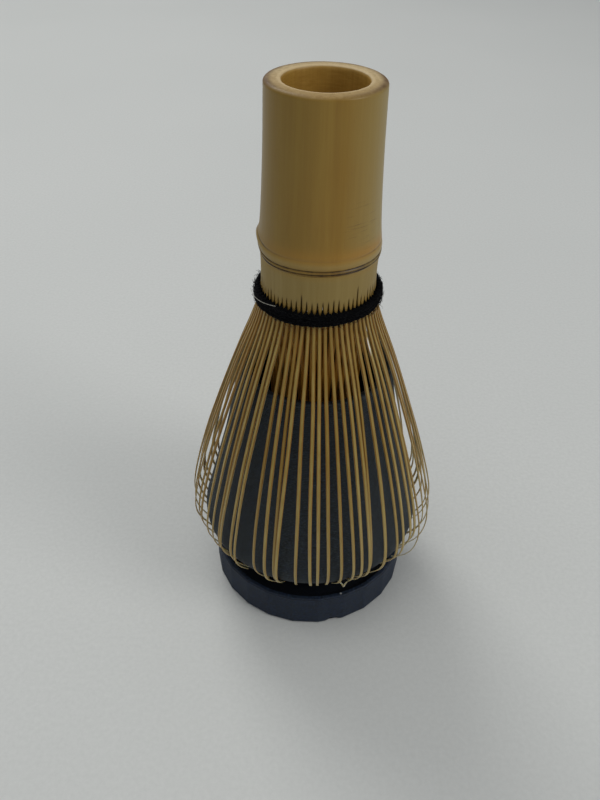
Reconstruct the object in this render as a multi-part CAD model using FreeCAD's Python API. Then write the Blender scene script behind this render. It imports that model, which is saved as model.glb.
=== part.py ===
import FreeCAD, Part
import math
import os

# Bamboo tea whisk standing on a shaper stand. Millimetres, +Z up, origin at
# the centre of the stand's underside. The whisk is one culm of bamboo: its
# lower end is split into an outer and an inner row of tines, held apart and
# held together by a black cotton lashing.

# ---- whole object ----
TOTAL_H = 127.43          # underside of the stand to the cut end of the handle

# ---- stand: faceted base ring ----
BASE_R = 25.0             # across the corners / 2
BASE_H = 9.5
BASE_SIDES = 24
BASE_EDGE = 0.5           # small chamfer on the top and bottom edges
CHANNEL_R = 23.6          # shallow channel in the ring's top, inside its lip
CHANNEL_Z = 7.4
NECK_R = 12.0             # neck that carries the bulb
NECK_TOP = 15.6
SOCKET_GAP = 0.10         # neck in socket, radial

# ---- stand: bulb (outer radius by height) ----
BULB_Z0 = 12.2
BULB_PROFILE = [(12.6, 21.3), (14.5, 23.2), (17.0, 25.5), (19.4, 27.0),
                (21.2, 27.25), (24.0, 26.65), (30.0, 25.05), (37.0, 23.25),
                (45.0, 21.25), (55.0, 19.25), (65.0, 17.6)]
BULB_TOP = 66.0
BULB_WALL = 2.3
CUP_FLOOR = 18.6

# ---- handle ----
BORE_R = 8.03
BORE_EDGE = 0.35
SEPTUM_R = 8.6
SEPTUM_TOP = 96.6
SEPTUM_LOW = 94.3
DISH_R = 7.6              # the diaphragm's top is slightly dished
DISH_DEPTH = 0.8
NODE_Z = 93.8             # lower end of the skin-covered part
NODE_PROFILE = [(93.8, 12.40), (94.0, 12.58), (94.12, 12.60), (94.2, 12.46),
                (94.38, 12.46), (94.48, 12.66), (94.76, 12.66),
                (94.86, 12.48), (95.06, 12.48), (95.16, 12.60),
                (95.6, 12.57), (96.4, 12.50)]
HANDLE_PROFILE = [(96.4, 12.50), (98.9, 12.30), (101.7, 12.11),
                  (106.2, 11.87), (112.6, 11.62), (120.5, 11.42),
                  (126.4, 11.33)]
RIM_ROUND = 0.95

# ---- root zone under the node ----
ROOT_Z = 84.9
ROOT_BORE_R = 9.9
ROOT_PROFILE = [(84.9, 12.12), (88.0, 12.08), (91.4, 12.14), (93.8, 12.38)]
SPLIT_W = 0.44
SPLIT_H = 3.2

# ---- tines ----
SPLITS = 70               # tines in each row
OUTER_GROUPS = 14         # groups of five
INNER_GROUPS = 7          # groups of ten
PHASE = 1.04              # turns the outer row by this share of one pitch
OUTER_W = 0.88
OUTER_T_ROOT = 0.50
OUTER_T_TIP = 0.20
INNER_W = 0.55
INNER_T_ROOT = 0.45
INNER_T_TIP = 0.20
SWING_Z = 83.2            # height about which a tine leans sideways
OUTER_PATH = [(84.7, 12.45), (82.6, 12.55), (80.0, 13.2), (76.0, 14.65),
              (72.0, 16.25), (64.0, 19.25), (56.0, 22.0), (48.0, 24.6),
              (40.0, 26.85), (33.0, 28.55), (27.5, 29.5), (24.0, 29.6),
              (21.3, 28.85), (18.6, 27.3), (16.0, 25.35), (14.0, 23.75),
              (12.9, 22.8)]
INNER_PATH_A = [(84.9, 10.85), (82.0, 10.85), (78.0, 10.75), (70.0, 10.4),
                (60.0, 9.9), (50.0, 9.3), (40.0, 8.6), (32.0, 7.9),
                (26.0, 7.0), (22.5, 6.2)]
INNER_PATH_B = [(84.9, 10.85), (82.0, 10.85), (78.0, 10.65), (70.0, 9.9),
                (60.0, 9.0), (50.0, 8.1), (40.0, 7.2), (32.0, 6.3),
                (26.0, 5.3), (23.5, 4.7)]

# ---- lashing ----
THREAD_R = 0.50
THREAD_RC = 13.55
THREAD_Z = 83.25          # lowest of its turns
THREAD_PITCH = 1.03
THREAD_TURNS = 3
WEAVE_RC = 11.65
WEAVE_R = 0.25
WEAVE_Z = 83.2
KNOT_AZ = 90.0
KNOT_Z = 84.3
KNOT_A = 2.2              # half length round the lashing
KNOT_B = 1.05             # half thickness

os.makedirs("parts", exist_ok=True)
V = FreeCAD.Vector
UP = V(0, 0, 1)
ORIGIN = V(0, 0, 0)


def noise(i, k):
    """Repeatable value between -1 and 1."""
    x = math.sin(i * 12.9898 + k * 78.233) * 43758.5453
    return 2.0 * (x - math.floor(x)) - 1.0


def spline(points):
    curve = Part.BSplineCurve()
    curve.interpolate([V(r, 0, z) for z, r in points])
    return curve.toShape()


def line(a, b):
    return Part.makeLine(V(a[1], 0, a[0]), V(b[1], 0, b[0]))


def arc(a, m, b):
    return Part.Arc(V(a[1], 0, a[0]), V(m[1], 0, m[0]), V(b[1], 0, b[0])).toShape()


def revolve(edges):
    wire = Part.Wire(Part.__sortEdges__(edges))
    return Part.Face(wire).revolve(ORIGIN, UP, 360)


def save(name, shape):
    shape.exportStep("parts/%s.step" % name)


# ---- stand base ----
def prism(radius, z0, z1, top_radius=None):
    pts0, pts1 = [], []
    r1 = radius if top_radius is None else top_radius
    for i in range(BASE_SIDES + 1):
        a = 2 * math.pi * (i + 0.5) / BASE_SIDES
        pts0.append(V(radius * math.cos(a), radius * math.sin(a), z0))
        pts1.append(V(r1 * math.cos(a), r1 * math.sin(a), z1))
    return Part.makeLoft([Part.makePolygon(pts0), Part.makePolygon(pts1)], True, True)


base = prism(BASE_R - BASE_EDGE * 0.6, 0, BASE_EDGE, BASE_R)
base = base.fuse(prism(BASE_R, BASE_EDGE, BASE_H - BASE_EDGE))
base = base.fuse(prism(BASE_R, BASE_H - BASE_EDGE, BASE_H, BASE_R - BASE_EDGE * 0.8))
base = base.removeSplitter().cut(
    Part.makeCylinder(CHANNEL_R, BASE_H - CHANNEL_Z + 1.0, V(0, 0, CHANNEL_Z), UP))
neck = Part.makeCylinder(NECK_R, NECK_TOP - CHANNEL_Z + 1.0, V(0, 0, CHANNEL_Z - 1.0), UP)
base = base.fuse(neck)
save("stand_base", base)

# ---- stand bulb ----
outer = BULB_PROFILE
inner = [(z, r - BULB_WALL) for z, r in outer if z > CUP_FLOOR + 1.5]
rim_o, rim_i = outer[-1], inner[-1]
rim_m = (BULB_TOP, (rim_o[1] + rim_i[1]) / 2)
cup_in = [(CUP_FLOOR, 0.0), (CUP_FLOOR, 21.5), (CUP_FLOOR + 2.6, inner[0][1])]
socket = NECK_R + SOCKET_GAP
edges = [
    spline(outer),
    arc(rim_o, rim_m, rim_i),
    spline(inner),
    line((CUP_FLOOR, 22.4), inner[0]),
    line((CUP_FLOOR, 0.0), (CUP_FLOOR, 22.4)),
    line((NECK_TOP, 0.0), (CUP_FLOOR, 0.0)),
    line((NECK_TOP, 0.0), (NECK_TOP, socket)),
    line((NECK_TOP, socket), (BULB_Z0, socket)),
    line((BULB_Z0, socket), (BULB_Z0, 20.9)),
    line((BULB_Z0, 20.9), outer[0]),
]
save("stand_bulb", revolve(edges))

# ---- handle culm with its bore ----
hp = HANDLE_PROFILE
top_r = hp[-1][1]
k = RIM_ROUND * (1 - math.sqrt(0.5))
edges = [line(a, b) for a, b in zip(NODE_PROFILE[:-1], NODE_PROFILE[1:])]
edges += [
    spline(hp),
    arc(hp[-1], (TOTAL_H - k, top_r - k), (TOTAL_H, top_r - RIM_ROUND)),
    line((TOTAL_H, top_r - RIM_ROUND), (TOTAL_H, BORE_R + BORE_EDGE)),
    line((TOTAL_H, BORE_R + BORE_EDGE), (TOTAL_H - BORE_EDGE, BORE_R)),
    line((TOTAL_H - BORE_EDGE, BORE_R), (SEPTUM_TOP, BORE_R)),
    line((SEPTUM_TOP, BORE_R), (SEPTUM_TOP, SEPTUM_R)),
    line((SEPTUM_TOP, SEPTUM_R), (NODE_Z, SEPTUM_R)),
    line((NODE_Z, SEPTUM_R), NODE_PROFILE[0]),
]
save("handle_culm", revolve(edges))

# ---- diaphragm inside the node ----
dish_r = (DISH_R ** 2 + DISH_DEPTH ** 2) / (2 * DISH_DEPTH)
dish_z = SEPTUM_TOP - DISH_DEPTH
dish_mid = dish_z + dish_r - math.sqrt(dish_r ** 2 - (DISH_R / 2) ** 2)
edges = [
    line((SEPTUM_LOW + 0.6, 0.0), (SEPTUM_LOW, SEPTUM_R)),
    line((SEPTUM_LOW, SEPTUM_R), (SEPTUM_TOP, SEPTUM_R)),
    line((SEPTUM_TOP, SEPTUM_R), (SEPTUM_TOP, DISH_R)),
    arc((SEPTUM_TOP, DISH_R), (dish_mid, DISH_R / 2), (dish_z, 0.0)),
    line((dish_z, 0.0), (SEPTUM_LOW + 0.6, 0.0)),
]
save("node_septum", revolve(edges))

# ---- root zone with its splits ----
rp = ROOT_PROFILE
edges = [
    spline(rp),
    line(rp[-1], (NODE_Z, ROOT_BORE_R)),
    line((NODE_Z, ROOT_BORE_R), (ROOT_Z, ROOT_BORE_R)),
    line((ROOT_Z, ROOT_BORE_R), rp[0]),
]
collar = revolve(edges)
cuts = []
for i in range(SPLITS):
    h = SPLIT_H + 0.7 * noise(i, 3) + (1.6 if i % 11 == 4 else 0.0)
    w = SPLIT_W * (1 + 0.2 * noise(i, 4)) / 2
    tri = Part.makePolygon([V(9.0, -w, ROOT_Z - 0.01), V(9.0, w, ROOT_Z - 0.01),
                            V(9.0, 0, ROOT_Z + h), V(9.0, -w, ROOT_Z - 0.01)])
    wedge = Part.Face(tri).extrude(V(4.5, 0, 0))
    wedge.rotate(ORIGIN, UP, 360.0 * (i + PHASE + 0.5) / SPLITS)
    cuts.append(wedge)
collar = collar.cut(Part.makeCompound(cuts))
save("root_collar", collar)

# ---- outer tines ----
# Sideways lean of each outer tine in degrees; those at the front are listed.
FRONT = {45: -1.2, 46: 1.36, 47: 2.1, 48: 1.4, 49: -0.8, 50: 1.2, 51: 1.9,
         52: 1.05, 53: 0.8, 54: 1.3, 55: 1.55, 56: 1.0, 57: 0.5, 58: -1.6,
         59: -0.9, 60: 0.8, 61: 0.0, 62: 1.6}
MAX_STEP = 0.86           # most that two neighbours may lean towards each other
swing = [FRONT.get(i, 1.2 * noise(i, 1)) for i in range(SPLITS)]
for _ in range(60):
    for i in range(SPLITS):
        j = (i + 1) % SPLITS
        d = swing[j] - swing[i]
        if abs(d) > MAX_STEP:
            half = (abs(d) - MAX_STEP) / 2 * (1 if d > 0 else -1)
            swing[i] += half
            swing[j] -= half

BULGE = [(85.0, 0.0), (81.0, 0.0), (72.0, 0.3), (56.0, 0.7), (40.0, 1.0),
         (27.5, 1.0), (21.3, 0.6), (17.0, 0.15), (12.0, 0.0)]


def table(points, z):
    pts = sorted(points)
    if z <= pts[0][0]:
        return pts[0][1]
    for (z0, v0), (z1, v1) in zip(pts[:-1], pts[1:]):
        if z <= z1:
            return v0 + (v1 - v0) * (z - z0) / (z1 - z0)
    return pts[-1][1]


def outer_path(i):
    """Centre line of outer tine i as (z, r), root to tip."""
    bulge = 0.55 * noise(i, 2)
    pts = [(z, r + bulge * table(BULGE, z)) for z, r in OUTER_PATH]
    keep = len(pts) - (2 if noise(i, 5) > 0.55 else 1 if noise(i, 5) > -0.1 else 0)
    return pts[:keep]


def ribbon(path, t_root, t_tip, width):
    """Flat tine: its section in the radial plane, extruded sideways."""
    n = len(path)
    a_pts, b_pts = [], []
    for k_, (z, r) in enumerate(path):
        z0, r0 = path[max(k_ - 1, 0)]
        z1, r1 = path[min(k_ + 1, n - 1)]
        dz, dr = z1 - z0, r1 - r0
        length = math.hypot(dz, dr)
        nz, nr = dr / length, -dz / length
        half = (t_root + (t_tip - t_root) * (path[0][0] - z) / (path[0][0] - path[-1][0])) / 2
        a_pts.append((z + nz * half, r + nr * half))
        b_pts.append((z - nz * half, r - nr * half))
    wire = Part.Wire([spline(a_pts), line(a_pts[-1], b_pts[-1]),
                      spline(list(reversed(b_pts))), line(b_pts[0], a_pts[0])])
    face = Part.Face(wire)
    face.translate(V(0, -width / 2, 0))
    return face.extrude(V(0, width, 0))


def place(solid, lean, azimuth, root_r):
    solid.rotate(V(root_r, 0, SWING_Z), V(1, 0, 0), lean)
    solid.rotate(ORIGIN, UP, azimuth)
    return solid


per = SPLITS // OUTER_GROUPS
for g in range(OUTER_GROUPS):
    solids = []
    for i in range(g * per, (g + 1) * per):
        s = ribbon(outer_path(i), OUTER_T_ROOT, OUTER_T_TIP, OUTER_W)
        solids.append(place(s, swing[i], 360.0 * (i + PHASE) / SPLITS, 12.45))
    save("outer_tines_%02d" % (g + 1), Part.makeCompound(solids))

# ---- inner tines ----
per = SPLITS // INNER_GROUPS
for g in range(INNER_GROUPS):
    solids = []
    for i in range(g * per, (g + 1) * per):
        path = INNER_PATH_A if i % 2 == 0 else INNER_PATH_B
        d = 0.2 * noise(i, 6)
        path = [(z, r + d * table([(80.0, 0.0), (60.0, 1.0)], z)) for z, r in path]
        s = ribbon(path, INNER_T_ROOT, INNER_T_TIP, INNER_W)
        solids.append(place(s, 0.2 * noise(i, 7), 360.0 * (i + PHASE + 0.5) / SPLITS, 10.85))
    save("inner_tines_%02d" % (g + 1), Part.makeCompound(solids))

# ---- lashing ----
turns = [Part.makeTorus(THREAD_RC, THREAD_R, V(0, 0, THREAD_Z + THREAD_PITCH * i), UP)
         for i in range(THREAD_TURNS)]
save("thread_windings", Part.makeCompound(turns))

save("thread_weave", Part.makeTorus(WEAVE_RC, WEAVE_R, V(0, 0, WEAVE_Z), UP))

KNOT_C = THREAD_RC + THREAD_R + 0.05 + KNOT_B
reach = KNOT_A - KNOT_B
knot = Part.makeCylinder(KNOT_B, 2 * reach, V(KNOT_C, -reach, KNOT_Z), V(0, 1, 0))
for side in (-1, 1):
    knot = knot.fuse(Part.makeSphere(KNOT_B, V(KNOT_C, reach * side, KNOT_Z)))
tails = []
for side in (-1, 1):
    tail = Part.makeCylinder(0.35, 5.6, V(0, 0, 0), V(0.06, 0.25 * side, -1.0))
    tail.translate(V(KNOT_C, 0.9 * side, KNOT_Z - 0.2))
    tails.append(tail)
knot_all = knot.fuse(tails[0]).fuse(tails[1])
knot_all.rotate(ORIGIN, UP, KNOT_AZ)
save("thread_knot", knot_all)
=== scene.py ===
import math

import bpy
import numpy as np
from mathutils import Matrix, Vector


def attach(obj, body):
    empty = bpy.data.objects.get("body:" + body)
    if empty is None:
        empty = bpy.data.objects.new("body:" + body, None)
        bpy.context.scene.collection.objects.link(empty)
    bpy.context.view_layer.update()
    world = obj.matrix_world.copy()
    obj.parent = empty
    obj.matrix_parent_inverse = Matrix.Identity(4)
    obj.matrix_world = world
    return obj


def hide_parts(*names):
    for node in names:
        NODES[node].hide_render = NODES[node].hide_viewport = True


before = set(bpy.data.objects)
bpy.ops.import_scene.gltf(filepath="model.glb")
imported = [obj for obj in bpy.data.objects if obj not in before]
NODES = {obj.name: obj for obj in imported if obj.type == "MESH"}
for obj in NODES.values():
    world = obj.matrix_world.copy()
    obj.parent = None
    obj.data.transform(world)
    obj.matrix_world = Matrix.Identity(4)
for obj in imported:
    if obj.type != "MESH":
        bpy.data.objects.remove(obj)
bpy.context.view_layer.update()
MM = 0.001
TAU = 2 * math.pi


# ------------------------------------------------------------------ helpers
def noise(i, k):
    """Repeatable value between -1 and 1."""
    x = math.sin(i * 12.9898 + k * 78.233) * 43758.5453
    return 2.0 * (x - math.floor(x)) - 1.0


def smooth(a, b, x):
    t = np.clip((x - a) / (b - a), 0.0, 1.0)
    return t * t * (3 - 2 * t)


def table(points, z):
    pts = sorted(points)
    return np.interp(z, [p[0] for p in pts], [p[1] for p in pts])


def cubic(points, n):
    """Natural cubic spline through the points, by chord length, n samples."""
    p = np.array(points, float)
    d = np.r_[0, np.cumsum(np.linalg.norm(np.diff(p, axis=0), axis=1))]
    m = len(d)
    h = np.diff(d)
    a = np.zeros((m, m))
    b = np.zeros((m, p.shape[1]))
    a[0, 0] = a[-1, -1] = 1
    for i in range(1, m - 1):
        a[i, i - 1], a[i, i], a[i, i + 1] = h[i - 1], 2 * (h[i - 1] + h[i]), h[i]
        b[i] = 6 * ((p[i + 1] - p[i]) / h[i] - (p[i] - p[i - 1]) / h[i - 1])
    c = np.linalg.solve(a, b)
    t = np.linspace(0, d[-1], n)
    k = np.clip(np.searchsorted(d, t, side="right") - 1, 0, m - 2)
    u, hk = t - d[k], h[k]
    out = np.empty((n, p.shape[1]))
    for j in range(p.shape[1]):
        s0, s1 = c[k, j], c[k + 1, j]
        out[:, j] = (p[k, j] + u * ((p[k + 1, j] - p[k, j]) / hk - hk * (2 * s0 + s1) / 6)
                     + s0 / 2 * u ** 2 + (s1 - s0) / (6 * hk) * u ** 3)
    return out


def make(name, verts, faces, body, material, attrs=None, replaces=(), flat=False, weld=0.0):
    """A mesh piece in millimetres that rides on a body."""
    me = bpy.data.meshes.new(name)
    me.from_pydata((np.asarray(verts, float) * MM).tolist(), [], [tuple(f) for f in faces])
    for key, values in (attrs or {}).items():
        at = me.attributes.new(key, "FLOAT", "POINT")
        at.data.foreach_set("value", np.asarray(values, np.float32))
    if weld:
        import bmesh
        bm = bmesh.new()
        bm.from_mesh(me)
        bmesh.ops.remove_doubles(bm, verts=bm.verts, dist=weld * MM)
        bmesh.ops.recalc_face_normals(bm, faces=bm.faces)
        bm.to_mesh(me)
        bm.free()
    me.validate()
    me.update()
    me.polygons.foreach_set("use_smooth", [not flat] * len(me.polygons))
    ob = bpy.data.objects.new(name, me)
    bpy.context.scene.collection.objects.link(ob)
    me.materials.append(material)
    if body:
        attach(ob, body)
    if replaces:
        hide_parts(*replaces)
    return ob


def grid_faces(rows, cols, wrap_rows=False, wrap_cols=True, base=0, flip=False):
    out = []
    for i in range(rows if wrap_rows else rows - 1):
        i2 = (i + 1) % rows
        for j in range(cols if wrap_cols else cols - 1):
            j2 = (j + 1) % cols
            f = (base + i * cols + j, base + i * cols + j2, base + i2 * cols + j2, base + i2 * cols + j)
            out.append(f[::-1] if flip else f)
    return out


def sharpen(ob, degrees=32):
    """Keeps hard edges crisp on a smooth-shaded mesh."""
    me = ob.data
    import bmesh
    bm = bmesh.new()
    bm.from_mesh(me)
    lim = math.radians(degrees)
    for e in bm.edges:
        if len(e.link_faces) == 2 and e.calc_face_angle(0.0) > lim:
            e.smooth = False
    bm.to_mesh(me)
    bm.free()


# ------------------------------------------------------------------ camera
F_PX, CAM_X, CAM_Z = 765.5, 142.754, 168.044
PITCH, YAW, ROLL = math.radians(38.743), math.radians(-1.514 + 0.20), math.radians(1.375)
fw = Vector((math.sin(YAW) * math.cos(PITCH), math.cos(YAW) * math.cos(PITCH), -math.sin(PITCH)))
rt = fw.cross(Vector((0, 0, 1))).normalized()
up = rt.cross(fw)
r2 = math.cos(ROLL) * rt + math.sin(ROLL) * up
u2 = -math.sin(ROLL) * rt + math.cos(ROLL) * up
cam_data = bpy.data.cameras.new("camera")
cam_data.sensor_width = 36.0
cam_data.lens = F_PX * 36.0 / 800.0
cam_data.clip_start = 0.005
cam_data.clip_end = 20.0
cam = bpy.data.objects.new("camera", cam_data)
bpy.context.scene.collection.objects.link(cam)
m = Matrix((r2, u2, -fw)).transposed().to_4x4()
m.translation = Vector((0, -CAM_X, CAM_Z)) * MM
cam.matrix_world = m
bpy.context.scene.camera = cam
bpy.context.scene.view_settings.view_transform = "Standard"


# ------------------------------------------------------------------ materials
class Mat:
    def __init__(self, name, rough=0.5, spec=0.5):
        self.m = bpy.data.materials.new(name)
        self.m.use_nodes = True
        self.t = self.m.node_tree
        self.b = self.t.nodes["Principled BSDF"]
        self.b.inputs["Roughness"].default_value = rough
        self.b.inputs["Specular IOR Level"].default_value = spec

    def new(self, kind, **values):
        n = self.t.nodes.new(kind)
        for k, v in values.items():
            setattr(n, k, v)
        return n

    def link(self, a, b):
        self.t.links.new(a, b)

    def coords(self, scale=(1, 1, 1), rotation=(0, 0, 0), location=(0, 0, 0)):
        tc = self.new("ShaderNodeTexCoord")
        mp = self.new("ShaderNodeMapping")
        mp.inputs["Scale"].default_value = scale
        mp.inputs["Rotation"].default_value = rotation
        mp.inputs["Location"].default_value = location
        self.link(tc.outputs["Object"], mp.inputs["Vector"])
        return mp.outputs["Vector"]

    def noise(self, vec, scale=1.0, detail=3.0, rough=0.55, distortion=0.0):
        n = self.new("ShaderNodeTexNoise")
        n.inputs["Scale"].default_value = scale
        n.inputs["Detail"].default_value = detail
        n.inputs["Roughness"].default_value = rough
        n.inputs["Distortion"].default_value = distortion
        self.link(vec, n.inputs["Vector"])
        return n.outputs["Fac"]

    def ramp(self, fac, stops, interp="LINEAR"):
        n = self.new("ShaderNodeValToRGB")
        n.color_ramp.interpolation = interp
        e = n.color_ramp.elements
        while len(e) < len(stops):
            e.new(0.5)
        for el, (pos, col) in zip(e, stops):
            el.position = pos
            el.color = (*col, 1.0) if len(col) == 3 else col
        self.link(fac, n.inputs["Fac"])
        return n.outputs["Color"]

    def span(self, fac, a, b, c=0.0, d=1.0):
        n = self.new("ShaderNodeMapRange")
        n.inputs["From Min"].default_value = a
        n.inputs["From Max"].default_value = b
        n.inputs["To Min"].default_value = c
        n.inputs["To Max"].default_value = d
        self.link(fac, n.inputs["Value"])
        return n.outputs["Result"]

    def math(self, op, a, b=None):
        n = self.new("ShaderNodeMath", operation=op)
        for i, v in enumerate((a, b)):
            if v is None:
                continue
            if isinstance(v, (int, float)):
                n.inputs[i].default_value = v
            else:
                self.link(v, n.inputs[i])
        return n.outputs[0]

    def mix(self, fac, a, b, blend="MIX"):
        n = self.new("ShaderNodeMix", data_type="RGBA", blend_type=blend)
        for sock, v in ((n.inputs[0], fac), (n.inputs[6], a), (n.inputs[7], b)):
            if isinstance(v, (int, float)):
                sock.default_value = v
            elif isinstance(v, tuple):
                sock.default_value = (*v, 1.0) if len(v) == 3 else v
            else:
                self.link(v, sock)
        return n.outputs[2]

    def attr(self, name):
        n = self.new("ShaderNodeAttribute")
        n.attribute_name = name
        return n.outputs["Fac"]

    def xyz(self, a, b, c):
        n = self.new("ShaderNodeCombineXYZ")
        for i, v in enumerate((a, b, c)):
            if isinstance(v, (int, float)):
                n.inputs[i].default_value = v
            else:
                self.link(v, n.inputs[i])
        return n.outputs[0]

    def colour(self, out):
        self.link(out, self.b.inputs["Base Color"])

    def rough(self, out):
        self.link(out, self.b.inputs["Roughness"])

    def bump(self, height, strength, distance, normal=None):
        n = self.new("ShaderNodeBump")
        n.inputs["Strength"].default_value = strength
        n.inputs["Distance"].default_value = distance * MM
        self.link(height, n.inputs["Height"])
        if normal is not None:
            self.link(normal, n.inputs["Normal"])
        self.link(n.outputs["Normal"], self.b.inputs["Normal"])
        return n.outputs["Normal"]


def near(mat, point, r0, r1):
    """1 at a point of the object, falling to 0 at distance r1 (mm)."""
    tc = mat.new("ShaderNodeTexCoord")
    d = mat.new("ShaderNodeVectorMath", operation="DISTANCE")
    mat.link(tc.outputs["Object"], d.inputs[0])
    d.inputs[1].default_value = [c * MM for c in point]
    return mat.span(d.outputs["Value"], r0 * MM, r1 * MM, 1.0, 0.0)


def bamboo_skin():
    m = Mat("bamboo_skin", 0.40, 0.34)
    m.b.inputs["Coat Weight"].default_value = 0.12
    m.b.inputs["Coat Roughness"].default_value = 0.30
    streak = m.noise(m.coords((420, 420, 9)), 1.0, 4.0, 0.6)
    fibre = m.noise(m.coords((1900, 1900, 30)), 1.0, 3.0, 0.6)
    cloud = m.noise(m.coords((60, 60, 28)), 1.0, 2.0, 0.5, 0.4)
    fleck = m.noise(m.coords((900, 900, 220)), 1.0, 2.0, 0.5)
    col = m.ramp(streak, [(0.30, (0.288, 0.154, 0.017)), (0.50, (0.322, 0.178, 0.022)), (0.72, (0.360, 0.212, 0.032))])
    col = m.mix(m.span(cloud, 0.35, 0.7), col, m.mix(0.5, col, (0.345, 0.225, 0.045)))
    col = m.mix(m.span(fibre, 0.42, 0.72, 0.0, 0.34), col, (0.270, 0.140, 0.018))
    col = m.mix(m.span(fleck, 0.66, 0.80, 0.0, 0.35), col, (0.25, 0.12, 0.02))
    # painted light and shade: away from the warm streak the skin turns greener, painted darker on the left side and
    # paler on the right side
    sep = m.new("ShaderNodeSeparateXYZ")
    tc = m.new("ShaderNodeTexCoord")
    m.link(tc.outputs["Object"], sep.inputs[0])
    warm = m.math("MULTIPLY", m.span(sep.outputs["X"], -0.012, 0.003, 0.0, 1.0), m.span(sep.outputs["X"], 0.004, 0.011, 1.0, 0.0))
    pale = m.mix(m.span(sep.outputs["X"], -0.004, 0.004, 0.0, 1.0), (0.212, 0.140, 0.022), (0.350, 0.275, 0.095))
    col = m.mix(m.math("MULTIPLY", m.math("SUBTRACT", 1.0, warm), 0.62), col, pale)
    col = m.mix(m.math("MULTIPLY", m.attr("blush"), m.span(cloud, 0.3, 0.6, 0.35, 0.80)), col, (0.430, 0.215, 0.030))
    col = m.mix(m.math("MULTIPLY", m.attr("shoulder"), 0.45), col, (0.400, 0.290, 0.100))
    # cut face, its brown outer ring, and the bore
    ring_n = m.noise(m.coords((1500, 1500, 200)), 1.0, 3.0, 0.6)
    cut = m.ramp(ring_n, [(0.35, (0.455, 0.325, 0.155)), (0.65, (0.590, 0.450, 0.240))])
    # painted light and shade: the cut face is painted darker and warmer towards the front and paler towards the back
    cut_front_shade = m.ramp(ring_n, [(0.35, (0.300, 0.175, 0.038)), (0.65, (0.395, 0.250, 0.072))])
    cut = m.mix(m.span(sep.outputs["Y"], -0.0125, 0.004, 1.0, 0.0), cut, cut_front_shade)
    blot = m.noise(m.coords((240, 240, 90)), 1.0, 3.0, 0.6)
    cut = m.mix(m.math("MULTIPLY", m.attr("radial"), m.span(blot, 0.30, 0.58, 0.55, 1.0)), cut, (0.135, 0.075, 0.022))
    # painted highlight: the bore's lip is painted paler all round
    cut = m.mix(m.math("MULTIPLY", m.attr("lip_highlight"), 0.75), cut, (0.66, 0.50, 0.27))
    col = m.mix(m.attr("cut"), col, cut)
    col = m.mix(m.math("MULTIPLY", m.attr("rimskin"), m.span(m.noise(m.coords((210, 210, 210)), 1.0, 3.0), 0.35, 0.6, 0.35, 1.0)), col, (0.150, 0.072, 0.030))
    hatch = m.noise(m.coords((500, 500, 2600)), 1.0, 3.0, 0.6)
    bore = m.ramp(hatch, [(0.3, (0.41, 0.235, 0.044)), (0.7, (0.50, 0.300, 0.066))])
    bore = m.mix(m.span(fibre, 0.45, 0.7, 0, 0.30), bore, (0.32, 0.155, 0.024))
    col = m.mix(m.attr("bore"), col, bore)
    # the thin dark rings of the node
    dark = m.math("MULTIPLY", m.attr("line"), m.span(m.noise(m.coords((420, 420, 240)), 1.0, 4.0, 0.65), 0.34, 0.58, 0.50, 1.25))
    col = m.mix(dark, col, (0.030, 0.012, 0.005))
    # faint handling scratches on the right
    sc_n = m.noise(m.coords((160, 160, 2600), (0.0, 0.10, 0.0)), 1.0, 2.0, 0.5)
    zone = m.math("MULTIPLY", near(m, (8.6, -8.0, 103.5), 1.5, 6.0), m.span(sc_n, 0.60, 0.70))
    col = m.mix(m.math("MULTIPLY", zone, 0.55), col, (0.13, 0.075, 0.028))
    m.colour(col)
    m.rough(m.math("ADD", m.span(streak, 0.3, 0.7, 0.34, 0.46), m.math("MULTIPLY", m.attr("cut"), 0.25)))
    n1 = m.bump(fibre, 0.25, 0.05)
    n2 = m.bump(streak, 0.30, 0.12, n1)
    m.bump(zone, 0.35, -0.04, n2)
    return m.m


def bamboo_flesh():
    m = Mat("bamboo_flesh", 0.58, 0.30)
    streak = m.noise(m.coords((620, 620, 12)), 1.0, 4.0, 0.6)
    fibre = m.noise(m.coords((2300, 2300, 40)), 1.0, 3.0, 0.6)
    facet = m.noise(m.coords((150, 150, 60)), 1.0, 2.0, 0.5)
    col = m.ramp(streak, [(0.30, (0.300, 0.208, 0.062)), (0.55, (0.328, 0.232, 0.074)), (0.75, (0.355, 0.258, 0.090))])
    col = m.mix(m.span(fibre, 0.45, 0.75, 0.0, 0.22), col, (0.26, 0.160, 0.040))
    col = m.mix(m.attr("warm"), col, (0.390, 0.228, 0.045))
    # painted shade: the flesh along the splits is painted near black
    col = m.mix(m.attr("gap"), col, (0.075, 0.032, 0.006))
    m.colour(col)
    m.rough(m.span(facet, 0.3, 0.7, 0.46, 0.62))
    n1 = m.bump(fibre, 0.25, 0.05)
    m.bump(facet, 0.20, 0.15, n1)
    return m.m


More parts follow.
